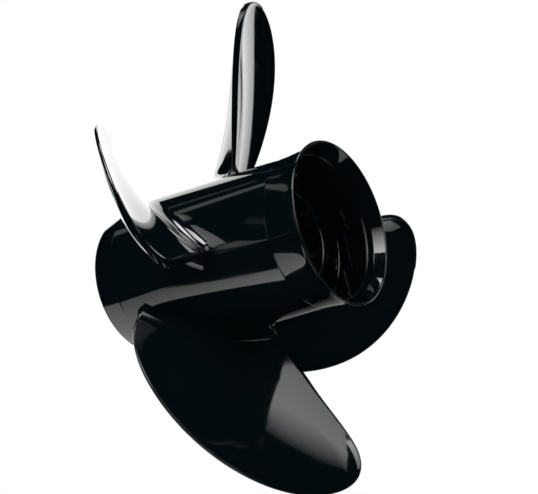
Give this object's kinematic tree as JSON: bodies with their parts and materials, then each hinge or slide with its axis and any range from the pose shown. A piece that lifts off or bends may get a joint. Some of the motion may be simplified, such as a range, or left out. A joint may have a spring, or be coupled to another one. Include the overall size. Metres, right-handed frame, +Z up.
{
  "type": "outboard motor propeller",
  "caption": "Skewed, cupped blades on a hollow exhaust hub with a flared ring at its aft end, painted black, with a rubber drive bush and a splined brass sleeve inside.",
  "frame": {"origin": "on the shaft line at the front face of the splined sleeve, which takes the thrust", "axes": "+X along the shaft line, from the thrust face towards the flared aft end; +Z up, through the first blade's tip"},
  "size_m": [0.179, 0.3492, 0.3492],
  "materials": {
    "black_gloss_paint": "gloss black paint on cast aluminium",
    "rubber": "matt black",
    "brass": "machined"
  },
  "bodies": {
    "root": {"exhaust_barrel": "black_gloss_paint", "diffuser_ring": "black_gloss_paint", "inner_hub": "black_gloss_paint", "hub_rib_1": "black_gloss_paint", "hub_rib_2": "black_gloss_paint", "hub_rib_3": "black_gloss_paint", "hub_rib_4": "black_gloss_paint", "blade_1": "black_gloss_paint", "blade_2": "black_gloss_paint", "blade_3": "black_gloss_paint", "blade_4": "black_gloss_paint", "rubber_bush": "rubber", "splined_sleeve": "brass"}
  },
  "joints": []
}
